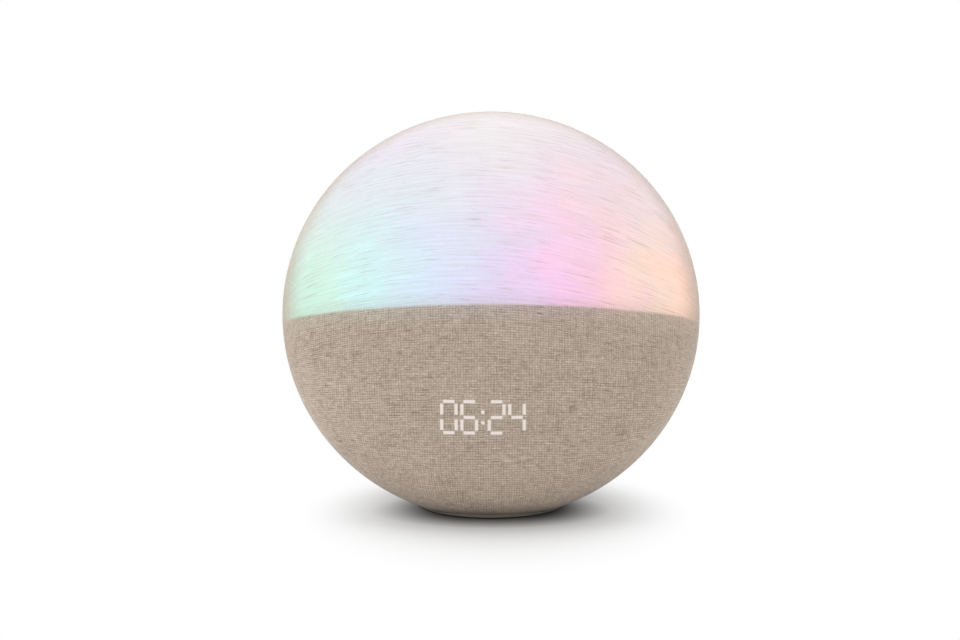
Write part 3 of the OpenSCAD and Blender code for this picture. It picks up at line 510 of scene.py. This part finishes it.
def slubs(tree, u, v, length, thickness, seed):
    """Long thin blotches that run along the rows, from 0 to 1."""
    along = maths(tree, "DIVIDE", u, length)
    across = maths(tree, "DIVIDE", v, thickness)
    return noise(tree, joined(tree, along, across, seed), 1.0)


def lines(tree, u, v, length, seed):
    """Single thin threads that stand out, in groups: 1 on such a thread, else 0."""
    group = noise(tree, joined(tree, u, v, seed), 1 / GROUP_SIZE, detail=1.0)
    thread = slubs(tree, u, v, length, LINE_T, seed)
    crowded = maths(tree, "ADD", thread, scaled(tree, group, -GROUP_SHIFT, GROUP_SHIFT))
    return between(tree, crowded, *LINE_EDGE)


def knots(tree, u, v):
    """Short thick spots in the yarn: 1 on a knot, else 0."""
    return between(tree, slubs(tree, u, v, KNOT_LENGTH, KNOT_T, seed=8.0), *KNOT_EDGE)


print("one thread every", round(WEFT_PITCH / MM, 1), "mm up the face")

# %% [markdown]
# ## Dawn colours
#
# Behind the upper half, the lamps of the light board make a small sunrise: green and
# blue on the left, violet in the middle, rose and orange on the right. The colours are
# strongest at the seam and fade into white towards the top. They aren't even: every lamp
# makes a blotch of its own, so slow noise shifts the colours sideways and upwards.
#
# The light ends softly on all sides. It fades where the cloth turns round the rim,
# because the board is smaller than the body. It is a little weaker just above the seam,
# where the divider stands in its way, and a trace of it leaks below the seam. On the
# bulging cloth the seam is bent a little.

# %% The lamps' light
MINT, GREEN, AQUA = paint(115, 190, 175), paint(125, 190, 180), paint(125, 190, 200)
SKY, VIOLET, PINK = paint(140, 175, 205), paint(155, 155, 200), paint(190, 140, 195)
ROSE, PEACH, AMBER = paint(195, 145, 170), paint(190, 165, 155), paint(200, 155, 140)
DAWN = [(0.04, MINT), (0.14, GREEN), (0.26, AQUA), (0.38, SKY), (0.50, VIOLET),
        (0.62, PINK), (0.74, ROSE), (0.86, PEACH), (0.95, AMBER)]
WHITE = [(0.2, paint(145, 155, 185)), (0.5, paint(155, 165, 180)), (0.8, paint(155, 150, 175))]
FADE_HEIGHT = 95 * MM
# Blotches: how many in a metre, and how far they shift the colours
CLOUD_SCALE = 14
CLOUD_SHIFT = 0.06
BLOTCH_SCALE = 40
BLOTCH_SHIFT = 0.09
BLOTCH_RISE = 20 * MM
# Edges of the light, towards the rim and at the seam
LIT_EDGE_IN = 85 * MM
LIT_EDGE_OUT = 104 * MM
SEAM_EDGE = (SEAM_Y - 0.8 * MM, SEAM_Y + 1.3 * MM)
# The bent seam: how high it is at the rim, and how much it sinks where the cloth bulges
SEAM_RISE = 1.5 * MM
SEAM_TILT = 0.047
# Weaker light above the seam, and the trace below it
SEAM_SHADE = 0.76
SEAM_SHADE_H = 8 * MM
SPILL = 0.09
SPILL_H = 10 * MM


def lit_share(tree, x, y, z):
    """How much of the lamps' light gets to a point of the cloth, from 0 to 1."""
    level = maths(tree, "SUBTRACT", maths(tree, "MULTIPLY_ADD", z, SEAM_TILT, y), SEAM_RISE)
    above_seam = between(tree, level, *SEAM_EDGE)
    past_divider = between(tree, level, SEAM_Y, SEAM_Y + SEAM_SHADE_H)
    above_seam = maths(tree, "MULTIPLY", above_seam, scaled(tree, past_divider, SEAM_SHADE, 1.0))
    spill = scaled(tree, between(tree, level, SEAM_Y - SPILL_H, SEAM_Y), 0.0, SPILL)
    squares = maths(tree, "ADD", maths(tree, "MULTIPLY", x, x), maths(tree, "MULTIPLY", y, y))
    inside_rim = between(tree, maths(tree, "SQRT", squares), LIT_EDGE_OUT, LIT_EDGE_IN)
    return maths(tree, "MULTIPLY", maths(tree, "MAXIMUM", above_seam, spill), inside_rim)


def lamp_colour(tree, x, y):
    """Colour of the lamps behind a point: dawn at the seam, and white at the top."""
    cloud = noise(tree, joined(tree, x, y, 3.0), CLOUD_SCALE)
    blotch = noise(tree, joined(tree, x, y, 5.0), BLOTCH_SCALE, detail=1.0)
    drift = maths(tree, "ADD", scaled(tree, cloud, -CLOUD_SHIFT, CLOUD_SHIFT),
                  scaled(tree, blotch, -BLOTCH_SHIFT, BLOTCH_SHIFT))
    across = maths(tree, "MULTIPLY_ADD", x, 0.5 / BODY_R, 0.5)
    dawn = ramp(tree, maths(tree, "ADD", across, drift), DAWN)
    rise = maths(tree, "ADD", y, scaled(tree, blotch, BLOTCH_RISE, -BLOTCH_RISE))
    fade = between(tree, rise, SEAM_Y, SEAM_Y + FADE_HEIGHT)
    return mix(tree, fade, dawn, ramp(tree, across, WHITE))


print(len(DAWN), "dawn colours over", len(WHITE), "whites")

# %% [markdown]
# ## The cloth's material
#
# The bare cloth's colour follows the weave's height: painted shade darkens the gaps
# between threads and a painted highlight lightens the thread tops. Streaks in its colour
# run along both sets of threads.
#
# The cloth keeps its own colour and gives the room's light back as before. The lamps'
# light is added to it, so the emission holds only what is missing to the final colour.
# Seen against the light, the gaps don't show. What shows is thick yarn, as soft streaks
# along the rows and a few thin dark lines and knots.

# %% The cloth's material
# Painted shade in the gaps, the yarn's own colour, and a painted highlight on thread tops
GAP_SHADE = paint(84, 72, 62)
CLOTH_MID = paint(175, 160, 145)
THREAD_TOP_HIGHLIGHT = paint(205, 190, 175)
CLOTH_LIT = paint(162, 147, 133)
YARN_AND_SHADE_STOPS = [(0.05, GAP_SHADE), (0.48, CLOTH_MID), (0.95, THREAD_TOP_HIGHLIGHT)]
BLACK = (0, 0, 0, 1)
DIGIT_LIGHT = paint(177, 177, 179)
# Slow change over the whole cloth: how often in a metre, and from what to what factor
TINT_SCALE = 30
TINT = (0.92, 1.08)
# Streaks in the bare cloth: way, length, factors and seed
STREAK_T = 0.5 * MM
STREAKS = [("row", 6 * MM, (0.80, 1.20), 6.0), ("column", 9 * MM, (0.86, 1.14), 9.0)]
# Single threads that stand out in the bare cloth: way, length, factor and seed
LONE_THREADS = [("row", 8 * MM, 0.68, 11.0), ("column", 8 * MM, 0.76, 12.0),
                ("row", 12 * MM, 1.2, 13.0)]
KNOT_SHADE = 0.72
# Yarn against the light: length, thickness and factors of its streaks, and its dark lines
SOFT_STREAK = (26 * MM, 1.1 * MM)
SOFT_LIGHT = (0.84, 1.42)
FINE_STREAK = (3 * MM, 0.6 * MM)
FINE_LIGHT = (0.92, 1.08)
DARK_LINE = 16 * MM
DARK_LOSS = 0.38
# Share of the bare cloth's pattern that the full light hides
HIDDEN = 0.85
WEAVE_STRENGTH = 0.5
WEAVE_DEPTH = 0.12 * MM
CLOTH_GLOSS = {"Roughness": 0.92, "Specular IOR Level": 0.1, "Sheen Weight": 0.25,
               "Sheen Roughness": 0.4, "Emission Strength": 1.0}


def place_on_cloth(tree):
    """Where a point lies on the cloth's own map, along the rows and across them."""
    uv = tree.nodes.new("ShaderNodeUVMap")
    uv.uv_map = "cloth"
    u, v, _ = separated(tree, uv.outputs[0])
    return u, v


def place_on_body(tree):
    """Where a point lies in the body's own frame."""
    body = tree.nodes.new("ShaderNodeMapping")
    body.vector_type = "TEXTURE"
    put(tree, body.inputs["Vector"], place_on_object(tree))
    set_values(body, {"Location": RIM_CENTRE, "Rotation": (math.pi / 2 - LEAN_BACK, 0, 0)})
    return separated(tree, body.outputs[0])


def display_light(tree):
    """The glow stored in the mesh: 1 over a lit bar, else 0."""
    digit = tree.nodes.new("ShaderNodeAttribute")
    digit.attribute_name = "glow"
    return digit.outputs["Fac"]


def bare_cloth(tree, x, y, u, v, height, knot):
    """Colour of the cloth without light behind it, with the weave's painted shade and highlight.
    """
    ways = {"row": (u, v), "column": (v, u)}
    tint = scaled(tree, noise(tree, joined(tree, x, y, 9.0), TINT_SCALE, detail=3.0), *TINT)
    for way, length, factors, seed in STREAKS:
        streak = slubs(tree, *ways[way], length, STREAK_T, seed)
        tint = maths(tree, "MULTIPLY", tint, scaled(tree, streak, *factors))
    tint = maths(tree, "MULTIPLY", tint, scaled(tree, knot, 1.0, KNOT_SHADE))
    for way, length, factor, seed in LONE_THREADS:
        thread = lines(tree, *ways[way], length, seed)
        tint = maths(tree, "MULTIPLY", tint, scaled(tree, thread, 1.0, factor))
    return tinted(tree, ramp(tree, height, YARN_AND_SHADE_STOPS), tint)


def light_through_yarn(tree, u, v, knot):
    """Factor on the lamps' light: soft streaks, dark where yarn is thick."""
    soft = scaled(tree, slubs(tree, u, v, *SOFT_STREAK, seed=4.0), *SOFT_LIGHT)
    fine = scaled(tree, slubs(tree, u, v, *FINE_STREAK, seed=7.0), *FINE_LIGHT)
    dark = maths(tree, "MAXIMUM", lines(tree, u, v, DARK_LINE, seed=5.0), knot)
    left = maths(tree, "ADD", maths(tree, "MULTIPLY", dark, -DARK_LOSS), 1.0)
    return maths(tree, "MULTIPLY", maths(tree, "MULTIPLY", soft, fine), left)


def cloth_material():
    material, tree, shader = new_material("linen")
    u, v = place_on_cloth(tree)
    x, y, z = place_on_body(tree)
    height = weave(tree, u, v)
    knot = knots(tree, u, v)
    lit_part = lit_share(tree, x, y, z)
    shine = display_light(tree)

    yarn = bare_cloth(tree, x, y, u, v, height, knot)
    calm = maths(tree, "MAXIMUM", maths(tree, "MULTIPLY", lit_part, HIDDEN), shine)
    put(tree, shader.inputs["Base Color"], mix(tree, calm, yarn, CLOTH_LIT))
    bumpy = maths(tree, "MULTIPLY", height, maths(tree, "SUBTRACT", 1.0, calm))
    put(tree, shader.inputs["Normal"], bump(tree, bumpy, WEAVE_STRENGTH, WEAVE_DEPTH))

    lamp = tinted(tree, lamp_colour(tree, x, y), light_through_yarn(tree, u, v, knot))
    lamp = mix(tree, lit_part, BLACK, lamp)
    put(tree, shader.inputs["Emission Color"], mix(tree, shine, lamp, DIGIT_LIGHT))
    set_values(shader, CLOTH_GLOSS)
    return material


cover.data.materials.append(cloth_material())
print("linen with", len(cover.data.materials[0].node_tree.nodes), "nodes")

# %% [markdown]
# ## Finishes of the hard parts
#
# The CAD parts keep their shapes and get a finish each. Moulded plastic is never quite
# smooth: the mould is etched with a fine grain so that it doesn't show finger marks, and
# the colour varies a little with the flow of the melt. So most of these finishes are one
# recipe with other numbers: a grain in the bump, a slow change in colour and a change in
# gloss that follows the grain. Metal and circuit boards have a recipe each.

# %% Recipes
# Slow change in colour: how often in a metre, and from what to what factor
FLOW_SCALE = 25
FLOW = (0.93, 1.07)
GLOSS_SPREAD = 0.08
GRAIN_HEIGHT = 0.05 * MM
# Marks of a brush: ten times as long as thick, darker, duller and a little raised
BRUSH_STRETCH = (0.1, 1, 1)
BRUSH_DARK = 0.8
BRUSH_DULL = 0.1
BRUSH_BUMP = 0.15
BRUSH_HEIGHT = 0.03 * MM
# Copper tracks
TRACK_LENGTH = 6 * MM
TRACK_PITCH = 1.6 * MM
TRACK_W = 0.18 * MM
TRACK_BUMP = 0.3
TRACK_HEIGHT = 0.04 * MM


def moulded(name, colour, roughness=0.5, grain_mm=0.35, depth=0.25, coat=0.0):
    """Moulded plastic or rubber, paper or a coat of paint."""
    material, tree, shader = new_material(name)
    place = place_on_object(tree)
    grain = noise(tree, place, 1 / (grain_mm * MM), detail=3.0, roughness=0.6)
    flow = scaled(tree, noise(tree, place, FLOW_SCALE, detail=3.0), *FLOW)
    gloss = scaled(tree, grain, roughness - GLOSS_SPREAD, roughness + GLOSS_SPREAD)
    put(tree, shader.inputs["Base Color"], tinted(tree, colour, flow))
    put(tree, shader.inputs["Roughness"], gloss)
    put(tree, shader.inputs["Normal"], bump(tree, grain, depth, GRAIN_HEIGHT))
    set_values(shader, {"Coat Weight": coat})
    return material


def metal(name, colour, roughness, brush_mm):
    """Metal with fine marks along X."""
    material, tree, shader = new_material(name)
    stretch = tree.nodes.new("ShaderNodeMapping")
    put(tree, stretch.inputs["Vector"], place_on_object(tree))
    set_values(stretch, {"Scale": BRUSH_STRETCH})
    marks = noise(tree, stretch.outputs[0], 1 / (brush_mm * MM))
    dark = tuple(BRUSH_DARK * value for value in colour[:3]) + (1,)
    put(tree, shader.inputs["Base Color"], ramp(tree, marks, [(0.2, dark), (0.8, colour)]))
    gloss = scaled(tree, marks, roughness - GLOSS_SPREAD, roughness + BRUSH_DULL)
    put(tree, shader.inputs["Roughness"], gloss)
    put(tree, shader.inputs["Normal"], bump(tree, marks, BRUSH_BUMP, BRUSH_HEIGHT))
    set_values(shader, {"Metallic": 1.0})
    return material


def circuit_board(name, mask, track):
    """Solder mask with straight copper tracks under it."""
    material, tree, shader = new_material(name)
    bricks = tree.nodes.new("ShaderNodeTexBrick")
    put(tree, bricks.inputs["Vector"], place_on_object(tree))
    set_values(bricks, {"Scale": 1.0, "Brick Width": TRACK_LENGTH, "Row Height": TRACK_PITCH,
                        "Mortar Size": TRACK_W})
    edge = bricks.outputs["Fac"]
    put(tree, shader.inputs["Base Color"], mix(tree, edge, mask, track))
    put(tree, shader.inputs["Normal"], bump(tree, edge, TRACK_BUMP, TRACK_HEIGHT))
    set_values(shader, {"Roughness": 0.35})
    return material


print("recipes ready")

# %% [markdown]
# The frame's record says which finish each part has. One dictionary holds them all, and
# a loop hands them out. The base pan looks down on the table and is a darker copy of the
# shell's putty plastic: the shade it sits in is painted into its colour, so it has a
# finish of its own.

# %% Hand out the finishes
# moulded: name, colour, roughness, size of the grain in mm and its depth
# metal: name, colour, roughness and thickness of a mark in mm
FINISHES = {
    "cover_fabric": cover.data.materials[0],
    "opal_plastic": moulded("opal plastic", paint(243, 242, 238), 0.45),
    "dark_plastic": moulded("dark plastic", paint(58, 55, 53), 0.6),
    "white_plastic": moulded("white plastic", paint(230, 230, 227), 0.4, depth=0.1),
    "board_white": circuit_board("white board", paint(232, 234, 234), paint(214, 217, 218)),
    "board_green": circuit_board("green board", paint(28, 92, 52), paint(44, 116, 66)),
    "led_phosphor": moulded("phosphor", paint(240, 222, 130), 0.25, 0.2, 0.1, coat=0.5),
    "light_pipe": moulded("light pipe", paint(236, 236, 232), 0.3, 0.2, 0.15),
    "screw_steel": metal("zinc-plated steel", paint(190, 190, 192), 0.35, 0.25),
    "shell_plastic": moulded("putty plastic", paint(196, 184, 171), 0.52, 0.3, 0.35),
    "key_plastic": moulded("key plastic", paint(186, 173, 160), 0.45, 0.25, 0.2),
    "foot_rubber": moulded("rubber", paint(36, 35, 35), 0.8, 0.5, 0.5),
    "foam": moulded("foam", paint(42, 42, 42), 0.95, 0.6, 1.0),
    "speaker_metal": moulded("painted steel", paint(58, 58, 60), 0.4, 0.5, 0.15),
    "cone_paper": moulded("cone paper", paint(44, 44, 46), 0.75, 0.8, 0.5),
    "magnet_metal": moulded("ferrite", paint(76, 76, 79), 0.7, 0.4, 0.5),
    "black_plastic": moulded("black plastic", paint(40, 39, 38), 0.5, 0.3, 0.3),
    "switch_metal": metal("tinned steel", paint(200, 201, 204), 0.3, 0.3),
    "cable_grey": moulded("grey cable", paint(170, 170, 170), 0.5, 1.2, 0.2),
    "cable_red": moulded("red cable", paint(176, 44, 36), 0.45, 1.2, 0.2),
    "cable_yellow": moulded("yellow cable", paint(212, 184, 62), 0.45, 1.2, 0.2)}

# A darker copy of the shell plastic: painted shade on the base pan
SHADED = {"base_pan": moulded("pan plastic in painted shade", paint(132, 121, 111), 0.6, 0.3, 0.3)}

for part in frame["record"]["subparts"]:
    mesh = nodes[part["node"]].data
    mesh.materials.clear()
    mesh.materials.append(SHADED.get(part["node"]) or FINISHES[part["material_slot"]])
print(len(FINISHES), "finishes on", len(nodes), "nodes")

# %% [markdown]
# ## Table and light
#
# The clock stands on a plain pale table in a white room. The room itself gives a soft
# light, a little more from the ceiling than from the walls. A wide lamp on each side
# lights the cloth evenly, the left one a little stronger, and one overhead keeps the
# shadow close under the clock.
#
# The table's real colour is light grey, and that is the light it throws back onto the
# clock. What the camera sees of it directly is another matter, told apart by the Light
# Path node: close to the foot it shows the shadow on a darker grey than the real one, so
# painted shade deepens it there, and between 30 and 110 mm from a point under the clock it
# turns into plain white, so that no horizon shows, which also sets how far the shadow
# reaches. Right under the edge of the clock, where light hardly gets in, the table is
# darker still, a painted contact shadow: an Ambient Occlusion node finds the points with
# something close above them.

# %% Table
TABLE_R = 8.0
TABLE_SIDES = 64
# Its real colour, the camera's darker grey (painted shade), and the painted contact shadow under
# an edge
TABLE_GREY = (0.88, 0.88, 0.88, 1)
TABLE_SEEN_SHADED = (0.55, 0.55, 0.55, 1)
TABLE_CONTACT_SHADOW = (0.12, 0.12, 0.12, 1)
CONTACT_REACH = 12 * MM
# Distances on the table are measured from here, those to the sides a little stretched
SHADOW_MIDDLE = (3 * MM, -10 * MM, 0)
SHADOW_SHAPE = (1.16, 1, 1)
WHITE_FROM = 30 * MM
WHITE_TO = 110 * MM


def seen_directly(tree):
    """1 for the camera and for what it sees in gloss or through glass, else 0."""
    path = tree.nodes.new("ShaderNodeLightPath")
    seen = maths(tree, "MAXIMUM", path.outputs["Is Camera Ray"], path.outputs["Is Glossy Ray"])
    return maths(tree, "MAXIMUM", seen, path.outputs["Is Transmission Ray"])


def vector_maths(tree, operation, first, second):
    node = tree.nodes.new("ShaderNodeVectorMath")
    node.operation = operation
    put(tree, node.inputs[0], first)
    put(tree, node.inputs[1], second)
    return node


def away_from_foot(tree):
    """0 close to the foot and 1 away from it."""
    stretched = vector_maths(tree, "MULTIPLY", place_on_object(tree), SHADOW_SHAPE).outputs[0]
    distance = vector_maths(tree, "DISTANCE", stretched, SHADOW_MIDDLE).outputs["Value"]
    return between(tree, distance, WHITE_FROM, WHITE_TO)


def table_material():
    material = bpy.data.materials.new("table")
    material.use_nodes = True
    tree = material.node_tree
    tree.nodes.clear()
    seen = seen_directly(tree)
    contact = tree.nodes.new("ShaderNodeAmbientOcclusion")
    set_values(contact, {"Distance": CONTACT_REACH})
    colour = mix(tree, contact.outputs["AO"], TABLE_CONTACT_SHADOW, mix(tree, seen, TABLE_GREY, TABLE_SEEN_SHADED))
    diffuse = tree.nodes.new("ShaderNodeBsdfDiffuse")
    put(tree, diffuse.inputs["Color"], colour)
    white = tree.nodes.new("ShaderNodeEmission")
    blend = tree.nodes.new("ShaderNodeMixShader")
    put(tree, blend.inputs[0], maths(tree, "MULTIPLY", away_from_foot(tree), seen))
    put(tree, blend.inputs[1], diffuse.outputs[0])
    put(tree, blend.inputs[2], white.outputs[0])
    output = tree.nodes.new("ShaderNodeOutputMaterial")
    put(tree, output.inputs["Surface"], blend.outputs[0])
    return material


table_bm = bmesh.new()
bmesh.ops.create_circle(table_bm, cap_ends=True, radius=TABLE_R, segments=TABLE_SIDES)
table_mesh = bpy.data.meshes.new("table")
table_bm.to_mesh(table_mesh)
table_bm.free()
table_mesh.materials.append(table_material())
table = bpy.data.objects.new("table", table_mesh)
bpy.context.scene.collection.objects.link(table)
print("table", 2 * TABLE_R, "m wide")

# %% Room and lamps
WALL_LIGHT = 0.34
CEILING_LIGHT = 0.42
# Each lamp's name, place, width and power
LAMPS = [("left softbox", (-0.9, -0.35, 0.62), 0.8, 7.0),
         ("right softbox", (0.9, -0.35, 0.62), 0.8, 5.1),
         ("overhead softbox", (0.0, 0.1, 1.4), 0.6, 11.0)]

world = bpy.data.worlds.new("white room")
bpy.context.scene.world = world
world.use_nodes = True
tree = world.node_tree
background = tree.nodes["Background"]
background.inputs["Color"].default_value = (1, 1, 1, 1)
_, _, upward = separated(tree, tree.nodes.new("ShaderNodeTexCoord").outputs["Generated"])
room = scaled(tree, between(tree, upward, 0.0, 1.0), WALL_LIGHT, CEILING_LIGHT)
lift = maths(tree, "MULTIPLY", seen_directly(tree), maths(tree, "SUBTRACT", 1.0, room))
put(tree, background.inputs["Strength"], maths(tree, "ADD", room, lift))

for name, place, size, watts in LAMPS:
    lamp = bpy.data.lights.new(name, "AREA")
    lamp.shape = "DISK"
    lamp.size = size
    lamp.energy = watts
    box = bpy.data.objects.new(name, lamp)
    box.location = place
    box.rotation_euler = (RIM_CENTRE - Vector(place)).to_track_quat("-Z", "Y").to_euler()
    bpy.context.scene.collection.objects.link(box)
print("the room and", len(LAMPS), "lamps")
